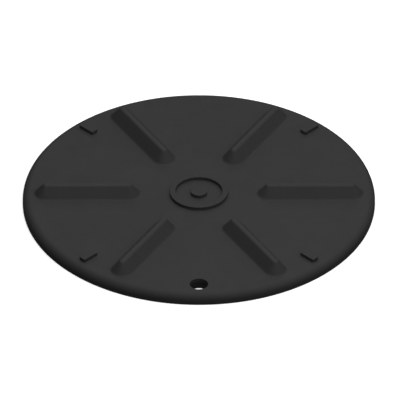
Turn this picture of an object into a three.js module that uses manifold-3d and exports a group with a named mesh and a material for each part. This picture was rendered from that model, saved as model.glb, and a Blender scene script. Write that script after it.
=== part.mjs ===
// A round moulded composite manhole cover, taken apart: a ribbed top shell, a steel spider with an upright
// bar in every hollow rib, a foam core, a screwed bottom plate, a lift-hole sleeve and a rim seal.
// Millimetres, +Z up. The seat on the underside of the rim is z = 0, the cover's axis is the Z axis,
// and the lift hole lies towards -Y.

import * as THREE from 'three';
import { mergeVertices } from 'three/addons/utils/BufferGeometryUtils.js';
import Module from 'manifold-3d';

const wasm = await Module();
wasm.setup();

// ---------- Driving dimensions ----------

// Top shell
const COVER_DIAMETER = 650;
const COVER_THICKNESS = 22; // from the seat to the deck
const RIM_ROUNDING = 15; // radius of the upper outer edge
const SEAT_CHAMFER = 1; // lower outer edge
const SKIN = 5; // wall of the deck and of the hollow ribs

// Underside of the rim, from the outer edge inwards
const SEAT_LAND = 8;
const SEAL_GROOVE_WIDTH = 5.5;
const SEAL_GROOVE_DEPTH = 3;
const INNER_LAND = 4.5;
const LEDGE_WIDTH = 15;

// Raised radial ribs
const RIB_COUNT = 6;
const RIB_HEIGHT = 22; // above the deck
const RIB_FOOT_WIDTH = 43;
const RIB_CREST_WIDTH = 8.8;
const RIB_CREST_FILLET = 6.5;
const RIB_FOOT_FILLET = 6.5;
const RIB_INNER_RADIUS = 108; // from the cover's axis to the rib's foot
const RIB_EDGE_MARGIN = 21.5; // from the rib's foot to the cover's edge

// Raised marks on the deck
const BAR_COUNT = 4;
const BAR_LENGTH = 33.5;
const BAR_WIDTH = 14;
const BAR_HEIGHT = 6.5;
const BAR_EDGE_MARGIN = 37; // from the bar's middle to the cover's edge
const EMBLEM_DIAMETER = 107;
const EMBLEM_BAND = 10;
const EMBLEM_HEIGHT = 6.5;
const EMBLEM_BUTTON_DIAMETER = 30;

// Lift hole
const LIFT_HOLE_DIAMETER = 34;
const SLEEVE_WALL = 2.5;
const LIFT_BOSS_WALL = 6.7;
const LIFT_GROOVE_WALL = 3.2; // between the sleeve's pocket and the seal groove

// Bottom plate and its screws
const PLATE_THICKNESS = 4;
const PLATE_INSET = 1; // the plate's face stands this far above the seat
const SCREW_COUNT = 12;
const SCREW_DIAMETER = 6;
const SCREW_HEAD_DIAMETER = 12;
const SCREW_HEAD_LAND = 0.3;
const SCREW_SOCKET_DIAMETER = 4;
const SCREW_SOCKET_DEPTH = 2;
const SCREW_HEAD_INSET = 0.1; // the head's face lies this deep in the plate
const SCREW_END_GAP = 1.2; // the thread stops this short of its nut's end
const PANEL_DEPTH = 1.2; // shallow recesses in the plate's face, one between every two spokes
const PANEL_WEB = 44; // width of the flat web left under each spoke
const PANEL_BORDER = 14; // between a panel and the ledge's inner edge
const PANEL_INNER_RADIUS = 78;
const INSERT_LENGTH = 10;
const INSERT_WALL = 1.5;
const INSERT_WAIST = 0.6; // depth of the keying groove

// Steel spider and foam core
const SPOKE_THICKNESS = 6;
const SPIDER_FLAT = 3; // thickness of the ring and of the hub's flange
const HUB_DIAMETER = 40;
const HUB_FLANGE_DIAMETER = 120;
const RING_WIDTH = 20;
const RING_BOSS_GAP = 6.5; // from the ring to the lift boss

// Clearances
const FIT = 0.3; // between pieces that bear on each other
const LOOSE = 1; // round the foam and at the ends of the spokes

// Roundness of the faceted solids
const RIM_STEPS = 72;
const ROUNDING_STEPS = 6;
const RIB_END_STEPS = 16;
const FILLET_STEPS = 3;
const EMBLEM_STEPS = 36;
const HOLE_STEPS = 24;
const CORE_STEPS = 36;
const SCREW_STEPS = 10;

// ---------- Levels, radii and places that follow ----------

const FULL_TURN = 2 * Math.PI;

const coverRadius = COVER_DIAMETER / 2;
const deckTop = COVER_THICKNESS;
const deckUnderside = deckTop - SKIN;
const plateTop = PLATE_INSET + PLATE_THICKNESS;
const innerFloor = plateTop + FIT; // the level that the ledge and everything inside share
const innerCeiling = deckUnderside - FIT;

const grooveOuter = coverRadius - SEAT_LAND;
const grooveInner = grooveOuter - SEAL_GROOVE_WIDTH;
const recessRadius = grooveInner - INNER_LAND;
const openingRadius = recessRadius - LEDGE_WIDTH;
const screwCircle = recessRadius - LEDGE_WIDTH / 2;

const liftRadius = LIFT_HOLE_DIAMETER / 2;
const pocketRadius = liftRadius + SLEEVE_WALL + FIT;
const liftBossRadius = pocketRadius + LIFT_BOSS_WALL;
const liftCentre = grooveInner - LIFT_GROOVE_WALL - pocketRadius;

const ribFoot = RIB_FOOT_WIDTH / 2;
const ribCrest = RIB_CREST_WIDTH / 2;
const ribRun = (ribFoot - ribCrest) / RIB_HEIGHT; // sideways travel of the wall for each mm of height
const ribAngle = Math.atan2(1, ribRun);
const ribInnerEnd = RIB_INNER_RADIUS + ribFoot;
const ribOuterEnd = coverRadius - RIB_EDGE_MARGIN - ribFoot;

// half widths of the hollow in a rib, at the deck's underside and at the top
const cavityMouth = ribFoot - SKIN / Math.sin(ribAngle) + SKIN * ribRun;
const cavityTop = deckTop + RIB_HEIGHT - SKIN;
const cavityCrest = cavityMouth - (cavityTop - deckUnderside) * ribRun;
const cavityOuterEnd = Math.min(ribOuterEnd, openingRadius - cavityMouth);

const flatTop = innerFloor + SPIDER_FLAT; // upper face of the ring and the hub's flange
const hubRadius = HUB_DIAMETER / 2;
const flangeRadius = HUB_FLANGE_DIAMETER / 2;
const ringOuter = liftCentre - liftBossRadius - RING_BOSS_GAP;
const ringInner = ringOuter - RING_WIDTH;
const spokeHalf = SPOKE_THICKNESS / 2;
const spokeTop = deckUnderside + (cavityMouth - spokeHalf - LOOSE / 2) / ribRun;

const screwRadius = SCREW_DIAMETER / 2;
const threadBore = screwRadius + FIT;
const insertRadius = threadBore + INSERT_WALL;
const screwFace = PLATE_INSET + SCREW_HEAD_INSET;

// ---------- Solids ----------

/** Closes a three.js geometry into a solid: shared corners merged and flat slivers at an axis dropped. */
function toSolid(geometry) {
  const bare = geometry.clone();
  bare.deleteAttribute('normal');
  bare.deleteAttribute('uv');
  const merged = mergeVertices(bare, 1e-4);
  const corners = merged.index.array;
  const kept = [];
  for (let i = 0; i < corners.length; i += 3) {
    const [a, b, c] = corners.slice(i, i + 3);
    if (a !== b && b !== c && c !== a) kept.push(a, b, c);
  }
  const vertProperties = new Float32Array(merged.attributes.position.array);
  const triVerts = new Uint32Array(kept);
  return new wasm.Manifold(new wasm.Mesh({ numProp: 3, vertProperties, triVerts }));
}

/** Turns a solid back into a three.js geometry. */
function toGeometry(solid) {
  const { vertProperties, triVerts } = solid.getMesh();
  const geometry = new THREE.BufferGeometry();
  geometry.setAttribute('position', new THREE.BufferAttribute(vertProperties, 3));
  geometry.setIndex(new THREE.BufferAttribute(triVerts, 1));
  geometry.computeVertexNormals();
  return geometry;
}

/** Revolves [radius, z] points about Z. They run outwards along the bottom and back along the top. */
function revolve(points, steps) {
  const profile = points.map(([radius, z]) => new THREE.Vector2(radius, z));
  const geometry = new THREE.LatheGeometry(profile, steps);
  geometry.rotateX(Math.PI / 2);
  return geometry;
}

/** A revolved solid, with its axis moved to (x, y). */
function turned(points, steps, x = 0, y = 0) {
  return toSolid(revolve(points, steps).translate(x, y, 0));
}

/** A round disc or pin about (x, y). */
function disc(radius, bottom, top, steps, x = 0, y = 0) {
  return turned([[0, bottom], [radius, bottom], [radius, top], [0, top]], steps, x, y);
}

/** The closed profile of a ring with a rectangular section. */
function ringProfile(inner, outer, bottom, top) {
  return [[inner, bottom], [outer, bottom], [outer, top], [inner, top], [inner, bottom]];
}

/** Extrudes [y, z] points along X, from one x to another. */
function extrudeAlongX(points, from, to) {
  const shape = new THREE.Shape(points.map(([y, z]) => new THREE.Vector2(y, z)));
  const geometry = new THREE.ExtrudeGeometry(shape, { depth: to - from, bevelEnabled: false });
  const along = new THREE.Vector3(1, 0, 0);
  const across = new THREE.Vector3(0, 1, 0);
  const up = new THREE.Vector3(0, 0, 1);
  geometry.applyMatrix4(new THREE.Matrix4().makeBasis(across, up, along));
  return toSolid(geometry.translate(from, 0, 0));
}

/** Points of an arc about (x, z), from one angle to another. */
function arc(x, z, radius, from, to, steps) {
  const points = [];
  for (let i = 0; i <= steps; i += 1) {
    const angle = from + ((to - from) * i) / steps;
    points.push([x + radius * Math.cos(angle), z + radius * Math.sin(angle)]);
  }
  return points;
}

/** A long ridge with round ends: a half section swept between two ends and revolved at each of them. */
function ridge(halfSection, from, to) {
  const mirrored = halfSection.slice(1, -1).map(([y, z]) => [-y, z]).reverse();
  const straight = extrudeAlongX([...halfSection, ...mirrored], from, to);
  return straight
    .add(turned(halfSection, RIB_END_STEPS, from))
    .add(turned(halfSection, RIB_END_STEPS, to));
}

/** Joins or cuts a solid with copies of another, turned about Z in even steps. */
function repeated(body, tool, count, firstAngle, operation) {
  let result = body;
  for (let i = 0; i < count; i += 1) {
    const degrees = firstAngle + (360 * i) / count;
    result = result[operation](tool.rotate([0, 0, degrees]));
  }
  return result;
}

// ---------- Top shell ----------

/** Half section of a rib: down into the deck, the foot's hollow, the sloping wall and the round crest. */
function ribSection() {
  const halfTurn = Math.tan(ribAngle / 2);
  const crestFillet = Math.min(RIB_CREST_FILLET, (0.95 * ribCrest) / halfTurn);
  const footEdge = ribFoot + RIB_FOOT_FILLET * halfTurn;
  const crestEdge = ribCrest - crestFillet * halfTurn;
  const top = deckTop + RIB_HEIGHT;
  const footMiddle = deckTop + RIB_FOOT_FILLET;
  const up = Math.PI / 2;
  const foot = arc(footEdge, footMiddle, RIB_FOOT_FILLET, -up, -up - ribAngle, FILLET_STEPS);
  const crest = arc(crestEdge, top - crestFillet, crestFillet, up - ribAngle, up, FILLET_STEPS);
  const root = deckTop - SKIN / 2;
  return [[0, root], [footEdge, root], ...foot, ...crest, [0, top]];
}

/** Half section of the hollow inside a rib, open below. */
function cavitySection() {
  const mouth = cavityMouth + ribRun * LOOSE;
  const below = deckUnderside - LOOSE;
  return [[0, below], [mouth, below], [cavityCrest, cavityTop], [0, cavityTop]];
}

/** The revolved body: deck, rounded rim, seat, recess and ledge of the bottom plate. */
function shellBody() {
  const roundingMiddle = coverRadius - RIM_ROUNDING;
  const rounding = arc(roundingMiddle, deckTop - RIM_ROUNDING, RIM_ROUNDING, 0, Math.PI / 2, ROUNDING_STEPS);
  const profile = [
    [0, deckUnderside],
    [openingRadius, deckUnderside],
    [openingRadius, innerFloor],
    [recessRadius, innerFloor],
    [recessRadius, 0],
    [coverRadius - SEAT_CHAMFER, 0],
    [coverRadius, SEAT_CHAMFER],
    ...rounding,
    [0, deckTop],
  ];
  return turned(profile, RIM_STEPS);
}

/** A small raised bar, lying along its radius. */
function bar() {
  const root = deckTop - SKIN / 2;
  const height = deckTop + BAR_HEIGHT - root;
  const box = new THREE.BoxGeometry(BAR_LENGTH, BAR_WIDTH, height);
  return toSolid(box.translate(coverRadius - BAR_EDGE_MARGIN, 0, root + height / 2));
}

/** A plain round emblem: a raised band with a round button in its middle. */
function emblem() {
  const root = deckTop - SKIN / 2;
  const top = deckTop + EMBLEM_HEIGHT;
  const outer = EMBLEM_DIAMETER / 2;
  const band = turned(ringProfile(outer - EMBLEM_BAND, outer, root, top), EMBLEM_STEPS);
  return band.add(disc(EMBLEM_BUTTON_DIAMETER / 2, root, top, HOLE_STEPS));
}

/** Blind holes of the threaded inserts, up into the ledge. */
function insertHole() {
  const top = innerFloor + INSERT_LENGTH + FIT;
  return disc(insertRadius + FIT, innerFloor - LOOSE, top, SCREW_STEPS, screwCircle, 0);
}

function topShell() {
  const rib = ridge(ribSection(), ribInnerEnd, ribOuterEnd);
  const cavity = ridge(cavitySection(), ribInnerEnd, cavityOuterEnd);
  const liftBoss = disc(liftBossRadius, 0, deckTop - SKIN / 2, HOLE_STEPS, 0, -liftCentre);
  const groove = turned(ringProfile(grooveInner, grooveOuter, -LOOSE, SEAL_GROOVE_DEPTH), RIM_STEPS);
  const liftHole = disc(liftRadius, -LOOSE, deckTop + LOOSE, HOLE_STEPS, 0, -liftCentre);
  const pocket = disc(pocketRadius, -LOOSE, deckUnderside, HOLE_STEPS, 0, -liftCentre);

  let shell = shellBody().add(emblem());
  shell = repeated(shell, rib, RIB_COUNT, 0, 'add');
  shell = repeated(shell, bar(), BAR_COUNT, 180 / BAR_COUNT, 'add');
  shell = repeated(shell, cavity, RIB_COUNT, 0, 'subtract');
  shell = shell.add(liftBoss).subtract(groove).subtract(pocket).subtract(liftHole);
  return repeated(shell, insertHole(), SCREW_COUNT, 180 / SCREW_COUNT, 'subtract');
}

// ---------- Bottom plate, screws and inserts ----------

/** Profile of a countersunk screw that ends at tip, grown by a clearance and with or without its socket. */
function screwProfile(tip, clearance, socket) {
  const head = SCREW_HEAD_DIAMETER / 2 + clearance;
  const shank = screwRadius + clearance;
  const face = clearance > 0 ? PLATE_INSET - LOOSE : screwFace;
  const cone = screwFace + SCREW_HEAD_LAND;
  const drive = SCREW_SOCKET_DIAMETER / 2;
  const bottom = screwFace + SCREW_SOCKET_DEPTH;
  const start = socket ? [[0, bottom], [drive, bottom], [drive, face]] : [[0, face]];
  return [...start, [head, face], [head, cone], [shank, cone + head - shank], [shank, tip], [0, tip]];
}

/** A sector-shaped solid between two spokes, its sides a set distance from their middle planes. */
function sectorWedge(middle, sideDistance, bottom, top) {
  const half = Math.PI / RIB_COUNT;
  const apex = sideDistance / Math.sin(half);
  const x = apex + COVER_DIAMETER * Math.cos(half);
  const y = COVER_DIAMETER * Math.sin(half);
  const shape = new THREE.Shape([[apex, 0], [x, -y], [x, y]].map(([u, v]) => new THREE.Vector2(u, v)));
  const geometry = new THREE.ExtrudeGeometry(shape, { depth: top - bottom, bevelEnabled: false });
  return toSolid(geometry.translate(0, 0, bottom).rotateZ(middle));
}

/** The recess of one panel, kept clear of the lift boss. */
function panel(middle) {
  const outer = openingRadius - PANEL_BORDER;
  const bottom = PLATE_INSET - LOOSE;
  const top = PLATE_INSET + PANEL_DEPTH;
  const band = turned(ringProfile(PANEL_INNER_RADIUS, outer, bottom, top), CORE_STEPS);
  const bossBorder = disc(liftBossRadius + PANEL_BORDER, bottom, top + LOOSE, HOLE_STEPS, 0, -liftCentre);
  return band.intersect(sectorWedge(middle, PANEL_WEB / 2, bottom, top)).subtract(bossBorder);
}

function bottomPlate() {
  let plate = disc(recessRadius - FIT, PLATE_INSET, plateTop, RIM_STEPS);
  for (let i = 0; i < RIB_COUNT; i += 1) {
    plate = plate.subtract(panel((FULL_TURN * (i + 0.5)) / RIB_COUNT));
  }
  const notch = disc(liftBossRadius + FIT, 0, plateTop + LOOSE, HOLE_STEPS, 0, -liftCentre);
  const sink = screwProfile(plateTop + LOOSE, FIT, false);
  const rimSink = turned(sink, SCREW_STEPS, screwCircle);
  const drilled = repeated(plate.subtract(notch), rimSink, SCREW_COUNT, 180 / SCREW_COUNT, 'subtract');
  return drilled.subtract(turned(sink, SCREW_STEPS));
}

/** A threaded bush with a keying groove round its waist. */
function insertProfile() {
  const top = innerFloor + INSERT_LENGTH;
  const middle = innerFloor + INSERT_LENGTH / 2;
  return [
    [threadBore, innerFloor],
    [insertRadius, innerFloor],
    [insertRadius - INSERT_WAIST, middle],
    [insertRadius, top],
    [threadBore, top],
    [threadBore, innerFloor],
  ];
}

// ---------- Steel spider ----------

/** The centre boss with its flange and threaded bore. */
function hubProfile() {
  return [
    [threadBore, innerFloor],
    [flangeRadius, innerFloor],
    [flangeRadius, flatTop],
    [hubRadius, flatTop],
    [hubRadius, innerCeiling],
    [threadBore, innerCeiling],
    [threadBore, innerFloor],
  ];
}

/** An upright bar along +X: notched over the flange and the ring, and raised to fill its hollow rib. */
function spoke() {
  const seat = flatTop + FIT;
  const reach = cavityMouth - LOOSE;
  const inner = hubRadius + FIT;
  const outer = openingRadius - LOOSE;
  const side = [
    [inner, seat],
    [flangeRadius + LOOSE, seat],
    [flangeRadius + LOOSE, innerFloor],
    [ringInner - LOOSE, innerFloor],
    [ringInner - LOOSE, seat],
    [ringOuter + LOOSE, seat],
    [ringOuter + LOOSE, innerFloor],
    [outer, innerFloor],
    [outer, innerCeiling],
    [cavityOuterEnd + reach, innerCeiling],
    [cavityOuterEnd, spokeTop],
    [ribInnerEnd, spokeTop],
    [ribInnerEnd - reach, innerCeiling],
    [inner, innerCeiling],
  ];
  const shape = new THREE.Shape(side.map(([x, z]) => new THREE.Vector2(x, z)));
  const geometry = new THREE.ExtrudeGeometry(shape, { depth: SPOKE_THICKNESS, bevelEnabled: false });
  return geometry.rotateX(Math.PI / 2).translate(0, spokeHalf, 0);
}

// ---------- Foam core ----------

/** The whole core as one disc, relieved for the hub, its flange and the ring. */
function coreDisc() {
  const relief = flatTop + FIT;
  const outer = openingRadius - LOOSE;
  return turned(
    [
      [hubRadius + LOOSE, relief],
      [flangeRadius + LOOSE, relief],
      [flangeRadius + LOOSE, innerFloor],
      [ringInner - LOOSE, innerFloor],
      [ringInner - LOOSE, relief],
      [ringOuter + LOOSE, relief],
      [ringOuter + LOOSE, innerFloor],
      [outer, innerFloor],
      [outer, innerCeiling],
      [hubRadius + LOOSE, innerCeiling],
      [hubRadius + LOOSE, relief],
    ],
    CORE_STEPS,
  );
}

/** One sector of the core, between two spokes, centred on an angle. */
function coreSector(middle) {
  const wedge = sectorWedge(middle, spokeHalf + LOOSE, 0, deckTop);
  const liftRelief = disc(liftBossRadius + LOOSE, 0, deckTop, HOLE_STEPS, 0, -liftCentre);
  return coreDisc().intersect(wedge).subtract(liftRelief);
}

// ---------- Sleeve and seal ----------

/** D-shaped seal: flat against the groove's top, with a rounded lip that ends level with the seat. */
function sealProfile() {
  const inner = grooveInner + FIT;
  const outer = grooveOuter - FIT;
  const top = SEAL_GROOVE_DEPTH - FIT;
  const lip = FIT / 2;
  const shoulder = top / 2;
  const middle = (inner + outer) / 2;
  const lipHalf = (outer - inner) / 4;
  return [
    [inner, shoulder],
    [middle - lipHalf, lip],
    [middle + lipHalf, lip],
    [outer, shoulder],
    [outer, top],
    [inner, top],
    [inner, shoulder],
  ];
}

// ---------- Materials ----------

function finish(color, roughness, metalness) {
  return new THREE.MeshStandardMaterial({ color, roughness, metalness });
}

const composite = finish(0x3a3a3a, 0.5, 0);
const plateComposite = finish(0x303132, 0.6, 0);
const steel = finish(0x8c9094, 0.45, 1);
const foam = finish(0xd8cfae, 0.95, 0);
const sleevePlastic = finish(0x222222, 0.4, 0);
const rubber = finish(0x191919, 0.8, 0);
const brass = finish(0xb08d4a, 0.35, 1);
const screwSteel = finish(0xa9adb0, 0.35, 1);

// ---------- Assembly ----------

const cover = new THREE.Group();

/** Adds a named piece, turned about Z and moved out along its own radius. */
function place(name, geometry, material, angle = 0, radius = 0) {
  const mesh = new THREE.Mesh(geometry, material);
  mesh.name = name;
  mesh.position.set(radius * Math.cos(angle), radius * Math.sin(angle), 0);
  mesh.rotation.z = angle;
  cover.add(mesh);
}

place('top_shell', toGeometry(topShell()), composite);
place('bottom_plate', toGeometry(bottomPlate()), plateComposite);
place('spider_hub', revolve(hubProfile(), HOLE_STEPS), steel);
place('spider_ring', revolve(ringProfile(ringInner, ringOuter, innerFloor, flatTop), CORE_STEPS), steel);

const spokeGeometry = spoke();
for (let i = 0; i < RIB_COUNT; i += 1) {
  const angle = (FULL_TURN * i) / RIB_COUNT;
  place(`rib_spoke_${i + 1}`, spokeGeometry, steel, angle);
  place(`core_sector_${i + 1}`, toGeometry(coreSector(angle + FULL_TURN / RIB_COUNT / 2)), foam);
}

const insertGeometry = revolve(insertProfile(), SCREW_STEPS);
const rimScrewTip = innerFloor + INSERT_LENGTH - SCREW_END_GAP;
const rimScrewGeometry = revolve(screwProfile(rimScrewTip, 0, true), SCREW_STEPS);
for (let i = 0; i < SCREW_COUNT; i += 1) {
  const angle = (FULL_TURN * (i + 0.5)) / SCREW_COUNT;
  place(`screw_insert_${i + 1}`, insertGeometry, brass, angle, screwCircle);
  place(`plate_screw_${i + 1}`, rimScrewGeometry, screwSteel, angle, screwCircle);
}
place('hub_screw', revolve(screwProfile(innerCeiling - SCREW_END_GAP, 0, true), SCREW_STEPS), screwSteel);

const sleeveProfile = ringProfile(liftRadius, liftRadius + SLEEVE_WALL, FIT, innerCeiling);
place('lift_hole_sleeve', revolve(sleeveProfile, HOLE_STEPS).translate(0, -liftCentre, 0), sleevePlastic);
place('rim_seal', revolve(sealProfile(), RIM_STEPS), rubber);

export default cover;
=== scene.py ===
"""A black moulded composite manhole cover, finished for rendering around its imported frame.

It lies on its seat at z = 0, with its axis on Z and its lift hole towards -Y. Lengths are in metres.
"""

import math

import bpy
import numpy as np
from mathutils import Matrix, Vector


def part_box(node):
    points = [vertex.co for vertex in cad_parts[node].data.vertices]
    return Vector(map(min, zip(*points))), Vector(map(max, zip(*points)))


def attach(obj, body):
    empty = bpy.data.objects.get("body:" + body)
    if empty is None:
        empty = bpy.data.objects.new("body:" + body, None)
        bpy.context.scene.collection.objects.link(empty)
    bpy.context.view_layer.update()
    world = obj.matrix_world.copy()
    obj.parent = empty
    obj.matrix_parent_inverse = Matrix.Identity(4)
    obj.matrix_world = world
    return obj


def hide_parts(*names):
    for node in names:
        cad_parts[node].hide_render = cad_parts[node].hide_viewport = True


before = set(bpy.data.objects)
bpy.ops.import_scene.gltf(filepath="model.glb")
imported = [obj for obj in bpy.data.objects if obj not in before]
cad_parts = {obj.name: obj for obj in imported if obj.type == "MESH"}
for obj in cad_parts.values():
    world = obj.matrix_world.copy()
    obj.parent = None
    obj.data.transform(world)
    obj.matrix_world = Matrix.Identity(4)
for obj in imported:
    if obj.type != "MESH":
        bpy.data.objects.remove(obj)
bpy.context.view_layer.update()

MM = 0.001
TAU = 2.0 * math.pi

# ---------- Sizes, read from the frame where it gives them ----------

shell_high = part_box("top_shell")[1]
plate_low, plate_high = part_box("bottom_plate")
hub_low, hub_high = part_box("spider_hub")
ring_low, ring_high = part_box("spider_ring")
sleeve_low, sleeve_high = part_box("lift_hole_sleeve")
seal_low, seal_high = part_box("rim_seal")
insert_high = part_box("screw_insert_1")[1]
screw_low, screw_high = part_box("plate_screw_1")

FIT = 0.3 * MM  # clearance between pieces that bear on each other
LOOSE = 1 * MM  # wider clearance at the steps and ends of the spokes
EDGE = 0.3 * MM  # the small rounding of an edge
OVERSHOOT = 1 * MM  # how far a cutting solid runs past the face that it cuts

COVER_RADIUS = shell_high.x
RIB_HEIGHT = 22 * MM
DECK = shell_high.z - RIB_HEIGHT
SKIN = 5 * MM
DECK_UNDERSIDE = DECK - SKIN
RIM_ROUNDING = 15 * MM
SEAT_EDGE = 1 * MM

GROOVE_WIDTH = 5.5 * MM
GROOVE_OUTER = seal_high.x + FIT
GROOVE_INNER = GROOVE_OUTER - GROOVE_WIDTH
GROOVE_DEPTH = seal_high.z + FIT
LEDGE_WIDTH = 15 * MM
RECESS_RADIUS = plate_high.x + FIT
OPENING_RADIUS = RECESS_RADIUS - LEDGE_WIDTH
OPENING_FILLET = 1 * MM
INNER_FLOOR = plate_high.z + FIT
INNER_CEILING = DECK_UNDERSIDE - FIT

RIB_COUNT = 6
RIB_FOOT = 21.5 * MM
RIB_CREST = 4.4 * MM
RIB_CREST_FILLET = 6.5 * MM
RIB_FOOT_FILLET = 6.5 * MM
RIB_INNER_RADIUS = 108 * MM
RIB_EDGE_MARGIN = 21.5 * MM
RIB_INNER_END = RIB_INNER_RADIUS + RIB_FOOT
RIB_OUTER_END = COVER_RADIUS - RIB_EDGE_MARGIN - RIB_FOOT
RIB_RUN = (RIB_FOOT - RIB_CREST) / RIB_HEIGHT  # sideways travel of the wall for its height
RIB_SLOPE = math.atan2(1, RIB_RUN)

CAVITY_MOUTH = RIB_FOOT - SKIN / math.sin(RIB_SLOPE) + SKIN * RIB_RUN
CAVITY_FILLET = 1.5 * MM
CAVITY_END = min(RIB_OUTER_END, OPENING_RADIUS - CAVITY_MOUTH)

BAR_COUNT = 4
BAR_LENGTH = 33.5 * MM
BAR_WIDTH = 14 * MM
BAR_HEIGHT = 6.5 * MM
BAR_CORNER = 1.2 * MM
BAR_EDGE_MARGIN = 37 * MM
BAR_CENTRE = COVER_RADIUS - BAR_EDGE_MARGIN

EMBLEM_OUTER = 53.5 * MM
EMBLEM_INNER = 43.5 * MM
EMBLEM_BUTTON = 15 * MM
EMBLEM_HEIGHT = 6.5 * MM

LIFT_ANGLE = 0.75 * TAU
LIFT_CENTRE = Vector((0.0, (sleeve_low.y + sleeve_high.y) / 2, 0.0))
SLEEVE_WALL = 2.5 * MM
SLEEVE_OUTER = (sleeve_high.x - sleeve_low.x) / 2
LIFT_RADIUS = SLEEVE_OUTER - SLEEVE_WALL
POCKET_RADIUS = SLEEVE_OUTER + FIT
LIFT_BOSS_WALL = 6.7 * MM
LIFT_BOSS = POCKET_RADIUS + LIFT_BOSS_WALL

SCREW_COUNT = 12
SCREW_CIRCLE = RECESS_RADIUS - LEDGE_WIDTH / 2
SCREW_HEAD = (screw_high.x - screw_low.x) / 2
SCREW_LAND = 0.3 * MM
SCREW_HEAD_EDGE = 0.2 * MM
SCREW_RADIUS = 3 * MM
SCREW_POINT = 0.6 * MM
SCREW_POINT_INSET = 0.2 * MM
BORE = SCREW_RADIUS + FIT
THREAD_PITCH = 1 * MM
THREAD_DEPTH = 0.6 * MM
SOCKET_WIDTH = 4 * MM
SOCKET_DEPTH = 2 * MM
SOCKET_EDGE = 0.25 * MM
SOCKET_CONE = 0.4 * MM

INSERT_RADIUS = 4.8 * MM
INSERT_WAIST = 0.6 * MM
INSERT_CHAMFER = 0.6 * MM
INSERT_THREAD_DEPTH = 0.3 * MM
INSERT_THREAD_MARGIN = 0.5 * MM
KNURL_TEETH = 16
KNURL_DEPTH = 0.35 * MM
KNURL_START = 0.12  # share of the length between the middle and a knurled band
KNURL_END = 0.44

PANEL_DEPTH = 1.2 * MM
PANEL_WEB = 44 * MM
PANEL_BORDER = 14 * MM
PANEL_INNER = 78 * MM
PANEL_CORNER = 5 * MM
PANEL_DRAFT = 0.5 * MM
PANEL_FILLET = 0.5 * MM
PANEL_FLOOR_START = 2 * MM
PANEL_MIDDLE = (1.5 * PANEL_INNER, 0.0)  # a place on a panel's axis that sees its whole outline

HUB_RADIUS = 20 * MM
HUB_TOP_EDGE = 0.8 * MM
HUB_BORE_EDGE = 0.6 * MM
WELD_BEAD = 2.2 * MM
WELD_RIPPLES = 72
WELD_RIPPLE_DEPTH = 0.08  # as a share of the bead's radius
RING_WIDTH = 20 * MM
SEAL_ROUNDING = 1.2 * MM

# ---------- Camera ----------

CAMERA_TILT = math.atan(1 / math.sqrt(2))  # above the horizon
CAMERA_DISTANCE = 3.0
VIEW_SHARE = 1.135  # width of the view over the width of the cover
VIEW_WIDTH = VIEW_SHARE * 2 * COVER_RADIUS
AIM_RIGHT = 2.1 * MM
AIM_DOWN = 11.7 * MM


def make_camera():
    """Parallel projection from the lift hole's side, looking down at the middle of the deck."""
    data = bpy.data.cameras.new("camera")
    data.type = "ORTHO"
    data.ortho_scale = VIEW_WIDTH
    camera = bpy.data.objects.new("camera", data)
    bpy.context.scene.collection.objects.link(camera)
    back = Vector((0.0, -math.cos(CAMERA_TILT), math.sin(CAMERA_TILT)))
    up = Vector((0.0, math.sin(CAMERA_TILT), math.cos(CAMERA_TILT)))
    aim = Vector((AIM_RIGHT, 0.0, DECK)) - up * AIM_DOWN
    camera.location = aim + back * CAMERA_DISTANCE
    camera.rotation_euler = (math.pi / 2 - CAMERA_TILT, 0.0, 0.0)
    bpy.context.scene.camera = camera


# ---------- Surfaces from profiles and outlines ----------

WELD = 1e-7  # points nearer than this are one point


def arc(centre, radius, start, end, steps):
    """Points of a circle's arc about a centre in a profile's plane, from one angle to another."""
    angle = np.linspace(start, end, steps + 1)
    return np.column_stack((centre[0] + radius * np.cos(angle), centre[1] + radius * np.sin(angle)))


def rounded(corners, steps=4):
    """A polyline of (x, z, radius) corners in which an arc tangent to both sides replaces each corner.

    The arc starts and ends radius * tan(turn / 2) from the corner, where turn is the change of direction.
    """
    points = np.array([c[:2] for c in corners], float)
    line = [points[:1]]
    for i in range(1, len(corners) - 1):
        before = points[i - 1] - points[i]
        after = points[i + 1] - points[i]
        before /= np.linalg.norm(before)
        after /= np.linalg.norm(after)
        radius = corners[i][2]
        turn = math.pi - math.acos(float(np.clip(before @ after, -1, 1)))
        if radius <= 0 or turn < 1e-4:
            line.append(points[i:i + 1])
            continue
        reach = radius * math.tan(turn / 2)
        middle = points[i] + (before + after) / np.linalg.norm(before + after) * radius / math.cos(turn / 2)
        first = points[i] + before * reach - middle
        last = points[i] + after * reach - middle
        share = np.linspace(0, 1, steps + 1)[:, None]
        fan = (np.sin((1 - share) * turn) * first + np.sin(share * turn) * last) / math.sin(turn)
        line.append(middle + fan)
    line.append(points[-1:])
    return np.vstack(line)


def around(core, steps):
    """Directions and base points for a loop that runs round a convex core, counterclockwise.

    The core is one point, a segment's two ends or a polygon's corners. Each corner gets the fan of
    directions between the outward normals of its two sides, so base + q * direction is the core grown by q.
    """
    core = np.array(core, float)
    count = len(core)
    if count == 1:
        angle = np.linspace(0, TAU, steps, endpoint=False)
        base = np.repeat(core, steps, axis=0)
        return base, np.column_stack((np.cos(angle), np.sin(angle)))
    ahead = np.roll(core, -1, axis=0) - core
    normal = np.arctan2(-ahead[:, 0], ahead[:, 1])
    per_corner = max(steps // count, 2)
    start = np.roll(normal, 1)
    sweep = np.mod(normal - start, TAU)
    share = np.linspace(0, 1, per_corner)
    angle = (start[:, None] + sweep[:, None] * share).ravel()
    base = np.repeat(core, per_corner, axis=0)
    return base, np.column_stack((np.cos(angle), np.sin(angle)))


def grown(base, way, section):
    """A solid's rows of points: each (q, z) of the section is an outline moved by q * way, at height z."""
    section = np.asarray(section, float)
    plan = base[None, :, :] + section[:, 0, None, None] * way[None, :, :]
    height = np.broadcast_to(section[:, 1, None, None], plan.shape[:2] + (1,))
    return np.concatenate((plan, height), axis=2)


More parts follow.
